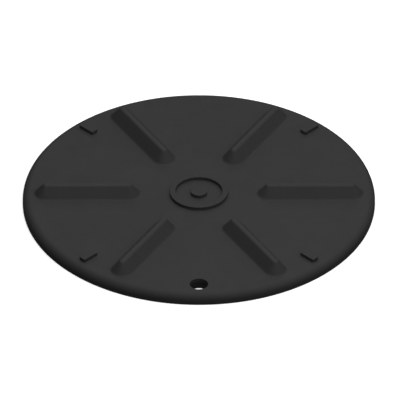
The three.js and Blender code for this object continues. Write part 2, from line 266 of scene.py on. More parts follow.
def swell(section, core=((0.0, 0.0),), steps=64):
    """A solid's rows of points, grown round a core. With a core of one point, the solid is revolved."""
    return grown(*around(core, steps), section)


def skin_of(rows, closed=False):
    """Points and triangles of a grid that wraps round each row, and from last row to first if closed."""
    count, around_count = rows.shape[:2]
    i = np.arange(count if closed else count - 1)[:, None]
    j = np.arange(around_count)[None, :]
    a = i * around_count + j
    b = i * around_count + (j + 1) % around_count
    c = (i + 1) % count * around_count + (j + 1) % around_count
    d = (i + 1) % count * around_count + j
    quads = np.stack((a, b, c, d), axis=2).reshape(-1, 4)
    triangles = np.vstack((quads[:, [0, 1, 2]], quads[:, [0, 2, 3]]))
    return weld(rows.reshape(-1, 3), triangles)


def weld(points, triangles):
    """Joins points that coincide, and drops the triangles that this leaves without area."""
    keys = np.round(points / WELD).astype(np.int64)
    _, first, inverse = np.unique(keys, axis=0, return_index=True, return_inverse=True)
    triangles = inverse.reshape(-1)[triangles]
    a, b, c = triangles.T
    return points[first], triangles[(a != b) & (b != c) & (c != a)]


def revolved(corners, steps):
    """The solid that a profile of (radius, z, rounding) corners makes about the vertical axis."""
    return skin_of(swell(rounded(corners), steps=steps))


def moved(part, angle=0.0, offset=(0.0, 0.0, 0.0)):
    """A part's points shifted by an offset and then turned about the cover's axis."""
    points, triangles = part
    points = points + np.array(offset)
    c, s = math.cos(angle), math.sin(angle)
    turn = np.array(((c, s, 0.0), (-s, c, 0.0), (0.0, 0.0, 1.0)))
    return points @ turn, triangles


def repeated(part, count, first=0.0, offset=(0.0, 0.0, 0.0)):
    """Copies of a part in even steps about the cover's axis."""
    return [moved(part, first + TAU * i / count, offset) for i in range(count)]


def gathered(parts):
    """Several separate parts as one set of points and triangles."""
    starts = np.cumsum([0] + [len(p) for p, _ in parts[:-1]])
    triangles = np.vstack([t + s for (_, t), s in zip(parts, starts)])
    return np.vstack([p for p, _ in parts]), triangles


def mesh_object(name, part):
    """A Blender object at the origin, with its place in its mesh."""
    points, triangles = part
    mesh = bpy.data.meshes.new(name)
    mesh.vertices.add(len(points))
    mesh.vertices.foreach_set("co", points.astype(np.float32).ravel())
    mesh.loops.add(3 * len(triangles))
    mesh.loops.foreach_set("vertex_index", triangles.astype(np.int32).ravel())
    mesh.polygons.add(len(triangles))
    mesh.polygons.foreach_set("loop_start", np.arange(0, 3 * len(triangles), 3, dtype=np.int32))
    mesh.update(calc_edges=True)
    mesh.validate()
    piece = bpy.data.objects.new(name, mesh)
    bpy.context.scene.collection.objects.link(piece)
    return piece


def carved(name, base, joined=(), cut=()):
    """A solid with other solids joined to it and then others cut out of it."""
    piece = mesh_object(name, base)
    tools = []
    for operation, parts in (("UNION", joined), ("DIFFERENCE", cut)):
        if parts:
            tool = mesh_object("tool", gathered(parts))
            tools.append(tool)
            step = piece.modifiers.new(operation.lower(), "BOOLEAN")
            step.operation = operation
            step.solver = "MANIFOLD"
            step.object = tool
    graph = bpy.context.evaluated_depsgraph_get()
    result = bpy.data.meshes.new_from_object(piece.evaluated_get(graph))
    piece.modifiers.clear()
    rough = piece.data
    piece.data = result
    bpy.data.meshes.remove(rough)
    result.name = name
    for tool in tools:
        data = tool.data
        bpy.data.objects.remove(tool)
        bpy.data.meshes.remove(data)
    return piece


SHARP = math.radians(32)  # edges that turn by more than this stay sharp


def finished(piece, material, slot, *nodes):
    """Smooths a piece up to its sharp edges, gives it its material and lets it stand for its nodes."""
    piece.data.shade_smooth()
    piece.data.set_sharp_from_angle(angle=SHARP)
    shading = piece.modifiers.new("shading", "WEIGHTED_NORMAL")
    shading.keep_sharp = True
    shading.weight = 100
    piece.data.materials.clear()
    piece.data.materials.append(material)
    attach(piece, "root")
    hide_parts(*nodes)
    return piece


# ---------- Top shell ----------


def rib_section():
    """Half section of a rib: root in the deck, hollow foot, straight sloping wall, round crest."""
    root = DECK - SKIN / 2
    foot_reach = RIB_FOOT_FILLET * math.tan(RIB_SLOPE / 2)
    crest_reach = RIB_CREST_FILLET * math.tan(RIB_SLOPE / 2)
    foot_centre = (RIB_FOOT + foot_reach, DECK + RIB_FOOT_FILLET)
    crest_centre = (RIB_CREST - crest_reach, DECK + RIB_HEIGHT - RIB_CREST_FILLET)
    quarter = math.pi / 2
    foot = arc(foot_centre, RIB_FOOT_FILLET, -quarter, -quarter - RIB_SLOPE, 8)
    crest = arc(crest_centre, RIB_CREST_FILLET, quarter - RIB_SLOPE, quarter, 10)
    bottom = [(0.0, root), (foot_centre[0], root)]
    top = [(0.0, DECK + RIB_HEIGHT)]
    return np.vstack((bottom, foot, crest, top))


def cavity_section():
    """Half section of the hollow in a rib, a wall's thickness inside it and open below."""
    top = DECK + RIB_HEIGHT - SKIN
    crest = CAVITY_MOUTH - (top - DECK_UNDERSIDE) * RIB_RUN
    bottom = DECK_UNDERSIDE - OVERSHOOT
    foot = CAVITY_MOUTH + RIB_RUN * OVERSHOOT
    return rounded([(0, bottom, 0), (foot, bottom, 0), (crest, top, CAVITY_FILLET), (0, top, 0)])


def pad_section(height):
    """Half section of a low raised mark: a root in the deck, a small hollow foot and a small round edge."""
    corners = [(0, DECK - SKIN / 2, 0), (EDGE, DECK - SKIN / 2, 0), (EDGE, DECK, 0)]
    corners += [(0, DECK, EDGE), (0, DECK + height, EDGE), (-2 * EDGE, DECK + height, 0)]
    return rounded(corners)


def shell_body():
    """The revolved body: deck, rounded rim, seat with its groove, recess and ledge of the plate."""
    corners = [
        (0, DECK_UNDERSIDE, 0),
        (OPENING_RADIUS, DECK_UNDERSIDE, OPENING_FILLET),
        (OPENING_RADIUS, INNER_FLOOR, EDGE / 2),
        (RECESS_RADIUS, INNER_FLOOR, 0),
        (RECESS_RADIUS, 0, EDGE / 2),
        (COVER_RADIUS, 0, SEAT_EDGE),
        (COVER_RADIUS, DECK, RIM_ROUNDING),
        (0, DECK, 0),
    ]
    profile = rounded(corners, steps=12)
    return skin_of(swell(profile, steps=360))


def rib_core(inner, outer):
    """The segment that a rib's outline grows from, along +X."""
    return ((inner, 0.0), (outer, 0.0))


def bar_part():
    """A raised bar with its long side along the radius."""
    half_length = BAR_LENGTH / 2 - BAR_CORNER
    half_width = BAR_WIDTH / 2 - BAR_CORNER
    start = BAR_CENTRE - half_length
    end = BAR_CENTRE + half_length
    core = ((start, -half_width), (end, -half_width), (end, half_width), (start, half_width))
    section = pad_section(BAR_HEIGHT)
    section[:, 0] += BAR_CORNER
    section = np.vstack((section[0] * (0, 1), section[1:], (0, section[-1, 1])))
    return closed_ends(swell(section, core, steps=24))


def closed_ends(rows, middle=None):
    """A skin whose first and last rows are closed by fans about their mean points.

    An outline that its mean point can't see whole takes a given place in plan as its fans' middle.
    """
    ends = rows[[0, -1]].mean(axis=1, keepdims=True)
    if middle is not None:
        ends[:, 0, :2] = middle
    ends = np.repeat(ends, rows.shape[1], axis=1)
    return skin_of(np.concatenate((ends[:1], rows, ends[1:])))


def emblem_parts():
    """A plain raised band with a round button inside it."""
    root = DECK - SKIN / 2
    top = DECK + EMBLEM_HEIGHT
    band = [
        (EMBLEM_INNER - EDGE, root, 0),
        (EMBLEM_OUTER + EDGE, root, 0),
        (EMBLEM_OUTER + EDGE, DECK, 0),
        (EMBLEM_OUTER, DECK, EDGE),
        (EMBLEM_OUTER, top, EDGE),
        (EMBLEM_INNER, top, EDGE),
        (EMBLEM_INNER, DECK, EDGE),
        (EMBLEM_INNER - EDGE, DECK, 0),
        (EMBLEM_INNER - EDGE, root, 0),
    ]
    button = [
        (0, root, 0),
        (EMBLEM_BUTTON + EDGE, root, 0),
        (EMBLEM_BUTTON + EDGE, DECK, 0),
        (EMBLEM_BUTTON, DECK, EDGE),
        (EMBLEM_BUTTON, top, 2 * EDGE),
        (0, top, 0),
    ]
    return [revolved(band, 180), revolved(button, 90)]


def lift_hole_tool():
    """The stepped bore: the sleeve's pocket from below and the narrower hole with its eased edge above."""
    past = 2 * OVERSHOOT
    corners = [
        (0, -past, 0),
        (POCKET_RADIUS, -past, 0),
        (POCKET_RADIUS, DECK_UNDERSIDE, 0),
        (LIFT_RADIUS, DECK_UNDERSIDE, 0),
        (LIFT_RADIUS, DECK, EDGE),
        (LIFT_RADIUS + past, DECK, 0),
        (LIFT_RADIUS + past, DECK + past, 0),
        (0, DECK + past, 0),
    ]
    return moved(revolved(corners, 96), offset=LIFT_CENTRE)


def ring_part(inner, outer, bottom, top, steps):
    """A ring with a rectangular section."""
    section = [(inner, bottom), (outer, bottom), (outer, top), (inner, top), (inner, bottom)]
    return skin_of(swell(section, steps=steps))


def disc_part(radius, bottom, top, steps, offset=(0.0, 0.0, 0.0)):
    """A round disc or pin."""
    section = [(0, bottom), (radius, bottom), (radius, top), (0, top)]
    return moved(skin_of(swell(section, steps=steps)), offset=offset)


def make_top_shell(material):
    """The body with its ribs, bars, emblem and lift boss joined, and its hollows, holes and groove cut."""
    rib = skin_of(swell(rib_section(), rib_core(RIB_INNER_END, RIB_OUTER_END), steps=64))
    cavity = skin_of(swell(cavity_section(), rib_core(RIB_INNER_END, CAVITY_END), steps=32))
    insert_hole = disc_part(INSERT_RADIUS + FIT, INNER_FLOOR - OVERSHOOT, insert_high.z + FIT, 32)
    joined = repeated(rib, RIB_COUNT) + repeated(bar_part(), BAR_COUNT, TAU / BAR_COUNT / 2)
    joined += emblem_parts()
    joined.append(disc_part(LIFT_BOSS, 0.0, DECK - SKIN / 2, 96, LIFT_CENTRE))
    cut = repeated(cavity, RIB_COUNT)
    cut += repeated(insert_hole, SCREW_COUNT, TAU / SCREW_COUNT / 2, (SCREW_CIRCLE, 0.0, 0.0))
    cut.append(ring_part(GROOVE_INNER, GROOVE_OUTER, -OVERSHOOT, GROOVE_DEPTH, 360))
    cut.append(lift_hole_tool())
    piece = carved("moulded_top_shell", shell_body(), joined, cut)
    finished(piece, material, "shell_composite", "top_shell")


# ---------- Bottom plate ----------


def panel_outline(bite):
    """Outline of a panel along +X: two sides parallel to the spokes' middles, a small arc and a large arc.

    With a bite, an arc about the lift hole's centre takes the middle out of the large arc.
    """
    half = TAU / RIB_COUNT / 2
    outer = OPENING_RADIUS - PANEL_BORDER
    web = PANEL_WEB / 2
    inner_end = half - math.asin(web / PANEL_INNER)
    outer_end = half - math.asin(web / outer)
    if bite:
        centre = LIFT_CENTRE.length
        radius = LIFT_BOSS + PANEL_BORDER
        x = (outer ** 2 + centre ** 2 - radius ** 2) / (2 * centre)
        y = math.sqrt(outer ** 2 - x ** 2)
        meet = math.atan2(y, x)
        turn = math.atan2(y, x - centre)
        far_side = np.vstack((
            arc((0, 0), outer, -outer_end, -meet, 8),
            arc((centre, 0), radius, -turn, turn - TAU, 24)[1:-1],
            arc((0, 0), outer, meet, outer_end, 8),
        ))
    else:
        far_side = arc((0, 0), outer, -outer_end, outer_end, 36)
    near_side = arc((0, 0), PANEL_INNER, inner_end, -inner_end, 4)
    corners = [(*near_side[2], 0), (*near_side[3], 0)]
    corners += [(*near_side[-1], PANEL_CORNER), (*far_side[0], PANEL_CORNER)]
    corners += [(*point, 0) for point in far_side[1:-1]]
    corners += [(*far_side[-1], PANEL_CORNER), (*near_side[0], PANEL_CORNER)]
    corners += [(*near_side[1], 0), (*near_side[2], 0)]
    return rounded(corners, steps=6)[:-1]


def panel_tool(bite):
    """The solid that presses one panel: its outline shrinks with height, up a steep wall with a round top.

    A point of the outline moves inwards along the mean normal of its two sides.
    """
    outline = panel_outline(bite)
    ahead = np.roll(outline, -1, axis=0) - outline
    ahead /= np.linalg.norm(ahead, axis=1, keepdims=True)
    along = ahead + np.roll(ahead, 1, axis=0)
    along /= np.linalg.norm(along, axis=1, keepdims=True)
    outward = np.column_stack((along[:, 1], -along[:, 0]))
    face = plate_low.z
    top = face + PANEL_DEPTH
    section = rounded([
        (1.2 * OVERSHOOT, face - OVERSHOOT, 0),
        (0, face, 0),
        (-PANEL_DRAFT, top, PANEL_FILLET),
        (-PANEL_FLOOR_START, top, 0),
    ])
    return closed_ends(grown(outline, outward, section), PANEL_MIDDLE)


def sink_tool():
    """A screw's countersunk hole, a fit wider than the screw: the head's recess, the cone and the bore."""
    head = SCREW_HEAD + FIT
    bottom = screw_low.z - 2 * OVERSHOOT
    cone = screw_low.z + SCREW_LAND
    top = plate_high.z + OVERSHOOT
    corners = [
        (0, bottom, 0),
        (head + EDGE, bottom, 0),
        (head + EDGE, plate_low.z, 0),
        (head, plate_low.z + EDGE, 0),
        (head, cone, 0),
        (BORE, cone + head - BORE, 0),
        (BORE, top, 0),
        (0, top, 0),
    ]
    return revolved(corners, 48)


def make_bottom_plate(material):
    """The plate with its pressed panels, its screws' holes and its notch round the lift boss."""
    corners = [
        (0, plate_low.z, 0),
        (plate_high.x, plate_low.z, 2 * EDGE),
        (plate_high.x, plate_high.z, EDGE),
        (0, plate_high.z, 0),
    ]
    base = revolved(corners, 360)
    sector = TAU / RIB_COUNT
    cut = []
    for i in range(RIB_COUNT):
        middle = sector * (i + 0.5)
        cut.append(moved(panel_tool(abs(middle - LIFT_ANGLE) < sector / 2), middle))
    cut += repeated(sink_tool(), SCREW_COUNT, TAU / SCREW_COUNT / 2, (SCREW_CIRCLE, 0.0, 0.0))
    cut.append(sink_tool())
    bottom = plate_low.z - OVERSHOOT
    top = plate_high.z + OVERSHOOT
    cut.append(disc_part(LIFT_BOSS + FIT, bottom, top, 96, LIFT_CENTRE))
    piece = carved("pressed_bottom_plate", base, cut=cut)
    finished(piece, material, "plate_composite", "bottom_plate")


# ---------- Screws and inserts ----------


def rings(radii, heights, centre):
    """Rows of points round a vertical axis: radius by row and angle, height by row."""
    count = radii.shape[1]
    angle = np.linspace(0, TAU, count, endpoint=False)
    x = centre.x + radii * np.cos(angle)
    y = centre.y + radii * np.sin(angle)
    z = np.broadcast_to(np.asarray(heights)[:, None], radii.shape)
    return np.stack((x, y, z), axis=2)


def thread(heights, steps, crest, depth, start, end):
    """Radius of a screw thread: crest - depth * fade * wave.

    The wave is the distance of (height / pitch - angle / full turn) from the nearest whole number, doubled.
    The fade is 0 at the thread's two ends and 1 inside it.
    """
    turns = heights[:, None] / THREAD_PITCH - np.linspace(0, 1, steps, endpoint=False)[None, :]
    wave = 2 * np.abs(turns - np.round(turns))
    fade = np.clip(np.minimum(heights - start, end - heights) / THREAD_PITCH, 0, 1)[:, None]
    return crest - depth * fade * wave


def screw_part(low, high):
    """A countersunk screw, head down. Its socket's radius is half its width over the cosine of the angle
    from the middle of the nearest flat, and its shank's is the thread's.
    """
    steps = 48
    one = np.ones(steps)
    angle = np.linspace(0, TAU, steps, endpoint=False)
    sixth = TAU / 6
    hexagon = SOCKET_WIDTH / 2 / np.cos(np.mod(angle, sixth) - sixth / 2)
    face = low.z
    tip = high.z
    neck = face + SCREW_LAND + SCREW_HEAD - SCREW_RADIUS
    heights = np.arange(neck, tip - SCREW_POINT, THREAD_PITCH / 10)
    shank = thread(heights, steps, SCREW_RADIUS, THREAD_DEPTH, neck, tip + THREAD_PITCH)
    head = [
        (0.0 * one, face + SOCKET_DEPTH + SOCKET_CONE),
        (hexagon, face + SOCKET_DEPTH),
        (hexagon, face + SOCKET_EDGE),
        (hexagon + 0.4 * SOCKET_EDGE, face + 0.32 * SOCKET_EDGE),
        (hexagon + SOCKET_EDGE, face),
        ((SCREW_HEAD - SCREW_HEAD_EDGE) * one, face),
        ((SCREW_HEAD - 0.3 * SCREW_HEAD_EDGE) * one, face + 0.3 * SCREW_HEAD_EDGE),
        (SCREW_HEAD * one, face + SCREW_HEAD_EDGE),
        (SCREW_HEAD * one, face + SCREW_LAND),
    ]
    end = [((SCREW_RADIUS - THREAD_DEPTH - SCREW_POINT_INSET) * one, tip), (0.0 * one, tip)]
    radii = np.vstack([row[0] for row in head] + [shank] + [row[0] for row in end])
    levels = np.concatenate(([row[1] for row in head], heights, [row[1] for row in end]))
    return skin_of(rings(radii, levels, (low + high) / 2))


def insert_part(low, high):
    """A brass bush with a threaded bore and two knurled bands.

    A band's radius is the bush's less depth * (1 - |cos(a) * cos(b)|), where a and b are half the number of
    teeth times the angle plus and minus the height over the radius.
    """
    steps = 96
    one = np.ones(steps)
    angle = np.linspace(0, TAU, steps, endpoint=False)
    heights = np.linspace(low.z + INSERT_CHAMFER / 2, high.z - INSERT_CHAMFER / 2, 29)
    climb = (heights - low.z)[:, None] / INSERT_RADIUS
    half_teeth = KNURL_TEETH / 2
    diamonds = np.abs(np.cos(half_teeth * (angle + climb)) * np.cos(half_teeth * (angle - climb)))
    from_middle = np.abs((heights - low.z) / (high.z - low.z) - 0.5)[:, None]
    band = (from_middle > KNURL_START) & (from_middle < KNURL_END)
    waist = np.where(from_middle <= KNURL_START, INSERT_WAIST, 0.0)
    wall = INSERT_RADIUS - waist - np.where(band, KNURL_DEPTH * (1 - diamonds), KNURL_DEPTH / 2)
    down = np.arange(high.z - INSERT_THREAD_MARGIN, low.z + INSERT_THREAD_MARGIN, -THREAD_PITCH / 8)
    groove = BORE + INSERT_THREAD_DEPTH
    inside = thread(down, steps, groove, INSERT_THREAD_DEPTH, low.z, high.z)
    end = (INSERT_RADIUS - INSERT_CHAMFER) * one
    mouth = (BORE + INSERT_THREAD_MARGIN) * one
    radii = np.vstack((end, wall, end, mouth, inside, mouth))
    levels = np.concatenate(([low.z], heights, [high.z, high.z], down, [low.z]))
    return skin_of(rings(radii, levels, (low + high) / 2), closed=True)


def own_radius(piece, centre):
    """Stores each point's distance from the piece's own vertical axis, for patterns left by a lathe."""
    points = np.empty(3 * len(piece.data.vertices), np.float32)
    piece.data.vertices.foreach_get("co", points)
    offset = points.reshape(-1, 3)[:, :2] - np.array(centre[:2], np.float32)
    marks = piece.data.attributes.new("own_radius", "FLOAT", "POINT")
    marks.data.foreach_set("value", np.linalg.norm(offset, axis=1).astype(np.float32))


def make_turned(name, shape, material, slot, node):
    """A lathe-turned piece that stands for one node, shaped by a function of the node's box."""
    low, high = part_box(node)
    piece = mesh_object(name, shape(low, high))
    own_radius(piece, (low + high) / 2)
    finished(piece, material, slot, node)


def make_screws(steel, brass):
    """The plate's screws with their inserts, and the hub's screw."""
    for i in range(1, SCREW_COUNT + 1):
        make_turned(f"countersunk_screw_{i}", screw_part, steel, "screw_steel", f"plate_screw_{i}")
        make_turned(f"knurled_insert_{i}", insert_part, brass, "insert_brass", f"screw_insert_{i}")
    make_turned("countersunk_hub_screw", screw_part, steel, "screw_steel", "hub_screw")


# ---------- Spider, sleeve and seal ----------


def make_hub(material):
    """The revolved boss and flange with a rippled weld bead in the corner between them."""
    flat = ring_high.z
    corners = [
        (BORE, hub_low.z, 0),
        (hub_high.x, hub_low.z, EDGE),
        (hub_high.x, flat, EDGE),
        (HUB_RADIUS, flat, 0),
        (HUB_RADIUS, hub_high.z, HUB_TOP_EDGE),
        (BORE, hub_high.z, HUB_BORE_EDGE),
        (BORE, hub_low.z, 0),
    ]
    base = revolved(corners, 180)
    bead_angle = np.linspace(0, TAU, 12, endpoint=False)[:, None]
    wave = np.cos(np.linspace(0, WELD_RIPPLES * TAU, 360, endpoint=False))[None, :]
    radius = WELD_BEAD * (1 + WELD_RIPPLE_DEPTH * wave)
    radii = HUB_RADIUS + radius * np.cos(bead_angle)
    bead = rings(radii, np.zeros(len(radii)), Vector((0.0, 0.0, 0.0)))
    bead[:, :, 2] = flat + radius * np.sin(bead_angle)
    piece = carved("welded_hub", base, joined=[skin_of(bead, closed=True)])
    finished(piece, material, "spider_steel", "spider_hub")


def make_ring(material):
    """The revolved flat ring with its eased edges."""
    low, high = ring_low.z, ring_high.z
    inner = ring_high.x - RING_WIDTH
    middle = (low + high) / 2
    corners = [
        (inner, middle, 0),
        (inner, low, EDGE),
        (ring_high.x, low, EDGE),
        (ring_high.x, high, EDGE),
        (inner, high, EDGE),
        (inner, middle, 0),
    ]
    piece = mesh_object("flat_ring", revolved(corners, 240))
    finished(piece, material, "spider_steel", "spider_ring")


def spoke_part():
    """An upright bar along +X: a rounded rectangle carried along the radius.

    Its lower side steps over the hub's flange and the ring, and its upper side rises into the hollow rib.
    """
    low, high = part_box("rib_spoke_1")
    seat = ring_high.z + FIT
    flange = hub_high.x + LOOSE
    ring_start = ring_high.x - RING_WIDTH - LOOSE
    ring_end = ring_high.x + LOOSE
    reach = CAVITY_MOUTH - LOOSE
    notches = (flange, flange + EDGE, ring_start - EDGE, ring_start, ring_end, ring_end + EDGE)
    under_x = np.array((low.x, *notches, high.x))
    under_z = np.array((seat, seat, low.z, low.z, seat, seat, low.z, low.z))
    over_x = np.array((RIB_INNER_END - reach, RIB_INNER_END, CAVITY_END, CAVITY_END + reach))
    over_z = np.array((INNER_CEILING, high.z, high.z, INNER_CEILING))
    place = np.concatenate((under_x, over_x))
    order = np.argsort(place, kind="stable")
    bottom = np.concatenate((under_z, np.interp(over_x, under_x, under_z)))
    top = np.concatenate((np.interp(under_x, over_x, over_z), over_z))
    place, bottom, top = (values[order, None] for values in (place, bottom, top))
    side = high.y - EDGE
    base, way = around(((-side, 0), (side, 0), (side, 1), (-side, 1)), 20)
    across = np.broadcast_to(base[:, 0] + EDGE * way[:, 0], (len(place), len(base)))
    height = bottom + EDGE + base[:, 1] * (top - bottom - 2 * EDGE) + EDGE * way[:, 1]
    along = np.broadcast_to(place, across.shape)
    return closed_ends(np.stack((along, across, height), axis=2))


def make_spokes(material):
    """One bar in every hollow rib."""
    part = spoke_part()
    for i in range(RIB_COUNT):
        piece = mesh_object(f"flat_bar_spoke_{i + 1}", moved(part, TAU * i / RIB_COUNT))
        finished(piece, material, "spider_steel", f"rib_spoke_{i + 1}")


def make_sleeve(material):
    """The revolved tube with its eased ends."""
    middle = (sleeve_low.z + sleeve_high.z) / 2
    corners = [
        (LIFT_RADIUS, middle, 0),
        (LIFT_RADIUS, sleeve_low.z, 2 * EDGE),
        (SLEEVE_OUTER, sleeve_low.z, 2 * EDGE),
        (SLEEVE_OUTER, sleeve_high.z, EDGE),
        (LIFT_RADIUS, sleeve_high.z, 2 * EDGE),
        (LIFT_RADIUS, middle, 0),
    ]
    part = moved(revolved(corners, 96), offset=LIFT_CENTRE)
    finished(mesh_object("sleeve_tube", part), material, "sleeve_plastic", "lift_hole_sleeve")


def make_seal(material):
    """The revolved D section: a flat back in the groove and a round lip below."""
    outer = seal_high.x
    inner = GROOVE_INNER + FIT
    middle = (inner + outer) / 2
    lip = (outer - inner) / 4
    shoulder = seal_high.z / 2
    corners = [
        (middle, seal_high.z, 0),
        (inner, seal_high.z, EDGE),
        (inner, shoulder, SEAL_ROUNDING),
        (middle - lip, seal_low.z, SEAL_ROUNDING),
        (middle + lip, seal_low.z, SEAL_ROUNDING),
        (outer, shoulder, SEAL_ROUNDING),
        (outer, seal_high.z, EDGE),
        (middle, seal_high.z, 0),
    ]
    piece = mesh_object("seal_strip", revolved(corners, 360))
    finished(piece, material, "seal_rubber", "rim_seal")


# ---------- Node helpers ----------


def feed(tree, sockets, values):
    """Gives each input a value or another node's output."""
    for name, value in values.items():
        if isinstance(value, bpy.types.NodeSocket):
            tree.links.new(value, sockets[name])
        else:
            sockets[name].default_value = value


def add_node(tree, kind, inputs=None, **settings):
    """A node with its settings and inputs."""
    node = tree.nodes.new(kind)
    for name, value in settings.items():
        setattr(node, name, value)
    feed(tree, node.inputs, inputs or {})
    return node


def calc(tree, operation, *values):
    """The result of a Math node."""
    return add_node(tree, "ShaderNodeMath", dict(enumerate(values)), operation=operation).outputs[0]


def span(tree, value, low, high, to_low=0.0, to_high=1.0):
    """A value eased from one range to another."""
    inputs = {"Value": value, "From Min": low, "From Max": high, "To Min": to_low, "To Max": to_high}
    return add_node(tree, "ShaderNodeMapRange", inputs, interpolation_type="SMOOTHSTEP").outputs["Result"]


def blend_colors(tree, share, first, second):
    """The first colour where the share is 0 and the second where it is 1."""
    node = add_node(tree, "ShaderNodeMix", {"Factor": share}, data_type="RGBA")
    colour_sockets = [socket for socket in node.inputs if socket.type == "RGBA"]
    for socket, color in zip(colour_sockets, (first, second)):
        if isinstance(color, bpy.types.NodeSocket):
            tree.links.new(color, socket)
        else:
            socket.default_value = (*color, 1.0)
    return [socket for socket in node.outputs if socket.type == "RGBA"][0]


def painted(tree, color, mask, strength, paint):
    """A colour with a paint over it, as strong as a mask times a strength."""
    return blend_colors(tree, calc(tree, "MULTIPLY", mask, strength), color, paint)


def noise(tree, place, scale, detail=3.0, distortion=0.0):
    """Smooth noise between 0 and 1."""
    inputs = {"Vector": place, "Scale": scale, "Detail": detail, "Distortion": distortion}
    return add_node(tree, "ShaderNodeTexNoise", inputs).outputs["Fac"]


def stretched(tree, place, scale, turn=0.0):
    """Coordinates scaled along each axis and turned about Z."""
    inputs = {"Vector": place, "Scale": scale, "Rotation": (0.0, 0.0, turn)}
    return add_node(tree, "ShaderNodeMapping", inputs).outputs["Vector"]


def new_group(name, inputs, outputs):
    """A group tree with its input and output nodes. Inputs are names with their kinds and values."""
    tree = bpy.data.node_groups.new(name, "ShaderNodeTree")
    for label, (kind, value) in inputs.items():
        socket = tree.interface.new_socket(label, in_out="INPUT", socket_type="NodeSocket" + kind)
        if kind == "Float":
            socket.default_value = value
    for label, kind in outputs.items():
        tree.interface.new_socket(label, in_out="OUTPUT", socket_type="NodeSocket" + kind)
    return tree, tree.nodes.new("NodeGroupInput").outputs, tree.nodes.new("NodeGroupOutput").inputs


def use_group(tree, group, place, **values):
    """The result of a group placed in a material at its coordinates, with its own values."""
    return add_node(tree, "ShaderNodeGroup", {"Vector": place, **values}, node_tree=group).outputs[0]


def new_material(name, **values):
    """A material with its shader's plain values, its tree, its shader and its Object coordinates."""
    material = bpy.data.materials.new(name)
    material.use_nodes = True
    tree = material.node_tree
    shader = tree.nodes["Principled BSDF"]
    for socket, value in values.items():
        shader.inputs[socket].default_value = value
    return material, tree, shader, tree.nodes.new("ShaderNodeTexCoord").outputs["Object"]


def relief(tree, shader, height, depth):
    """Bumps that many metres deep, from a height between 0 and 1."""
    bump = add_node(tree, "ShaderNodeBump", {"Height": height, "Distance": depth})
    tree.links.new(bump.outputs["Normal"], shader.inputs["Normal"])


def up_coordinate(tree, place):
    """The height above the seat."""
    return add_node(tree, "ShaderNodeSeparateXYZ", {0: place}).outputs["Z"]


# ---------- Shared effects ----------


def grain_group():
    """Height of a fine moulded or cast grain: rounded cells broken up by noise."""
    inputs = {"Vector": ("Vector", None), "Scale": ("Float", 1000.0)}
    tree, given, result = new_group("fine_grain", inputs, {"Height": "Float"})
    cells = add_node(tree, "ShaderNodeTexVoronoi", {"Vector": given["Vector"], "Scale": given["Scale"]})
    rough = noise(tree, given["Vector"], calc(tree, "MULTIPLY", given["Scale"], 1.7), 4.0)
    height = calc(tree, "ADD", calc(tree, "MULTIPLY", cells.outputs["Distance"], 0.5), rough)
    tree.links.new(height, result["Height"])
    return tree


def mottle_group():
    """A slow uneven variation between two values, as in a moulding's gloss or a pigment's depth."""
    inputs = {
        "Vector": ("Vector", None),
        "Scale": ("Float", 20.0),
        "Low": ("Float", 0.0),
        "High": ("Float", 1.0),
    }
    tree, given, result = new_group("mottle", inputs, {"Value": "Float"})
    clouds = noise(tree, given["Vector"], given["Scale"], 5.0, 0.4)
    value = span(tree, clouds, 0.3, 0.7, given["Low"], given["High"])
    tree.links.new(value, result["Value"])
    return tree


def scratch_group():
    """Thin short scratches in two crossing directions, where stretched noise passes its middle value."""
    inputs = {"Vector": ("Vector", None), "Scale": ("Float", 60.0), "Width": ("Float", 0.01)}
    tree, given, result = new_group("scratches", inputs, {"Mask": "Float"})
    lines = []
    for turn in (0.4, 2.1):
        long_place = stretched(tree, given["Vector"], (1.0, 14.0, 1.0), turn)
        long_noise = noise(tree, long_place, given["Scale"], 1.0)
        off_middle = calc(tree, "ABSOLUTE", calc(tree, "SUBTRACT", long_noise, 0.5))
        thin = calc(tree, "LESS_THAN", off_middle, given["Width"])
        patch_noise = noise(tree, given["Vector"], calc(tree, "ADD", given["Scale"], turn), 1.0)
        patch = span(tree, patch_noise, 0.5, 0.66)
        lines.append(calc(tree, "MULTIPLY", thin, patch))
    tree.links.new(calc(tree, "MAXIMUM", *lines), result["Mask"])
    return tree


def wear_group():
    """Rubbed edges: how far a rounded-over normal leans from the true one, broken up by noise."""
    inputs = {"Vector": ("Vector", None), "Radius": ("Float", 1 * MM), "Breakup": ("Float", 300.0)}
    tree, given, result = new_group("edge_wear", inputs, {"Mask": "Float"})
    eased = add_node(tree, "ShaderNodeBevel", {"Radius": given["Radius"]}, samples=6).outputs["Normal"]
    true = tree.nodes.new("ShaderNodeNewGeometry").outputs["Normal"]
    lean = add_node(tree, "ShaderNodeVectorMath", {0: eased, 1: true}, operation="DOT_PRODUCT")
    edge = span(tree, lean.outputs["Value"], 0.99, 0.86)
    ragged = span(tree, noise(tree, given["Vector"], given["Breakup"], 5.0), 0.35, 0.6)
    tree.links.new(calc(tree, "MULTIPLY", edge, ragged), result["Mask"])
    return tree


def dust_group():
    """Fine dust that settles in patches on upward faces."""
    inputs = {"Vector": ("Vector", None), "Scale": ("Float", 12.0), "Amount": ("Float", 0.1)}
    tree, given, result = new_group("settled_dust", inputs, {"Mask": "Float"})
    normal = tree.nodes.new("ShaderNodeNewGeometry").outputs["Normal"]
    up = span(tree, add_node(tree, "ShaderNodeSeparateXYZ", {0: normal}).outputs["Z"], 0.75, 1.0)
    clouds = span(tree, noise(tree, given["Vector"], given["Scale"], 6.0, 0.6), 0.35, 0.75)
    specks = span(tree, noise(tree, given["Vector"], 1500.0, 2.0), 0.5, 0.7, 0.6, 1.0)
    settled = calc(tree, "MULTIPLY", up, clouds)
    thickness = calc(tree, "MULTIPLY", specks, given["Amount"])
    tree.links.new(calc(tree, "MULTIPLY", settled, thickness), result["Mask"])
    return tree


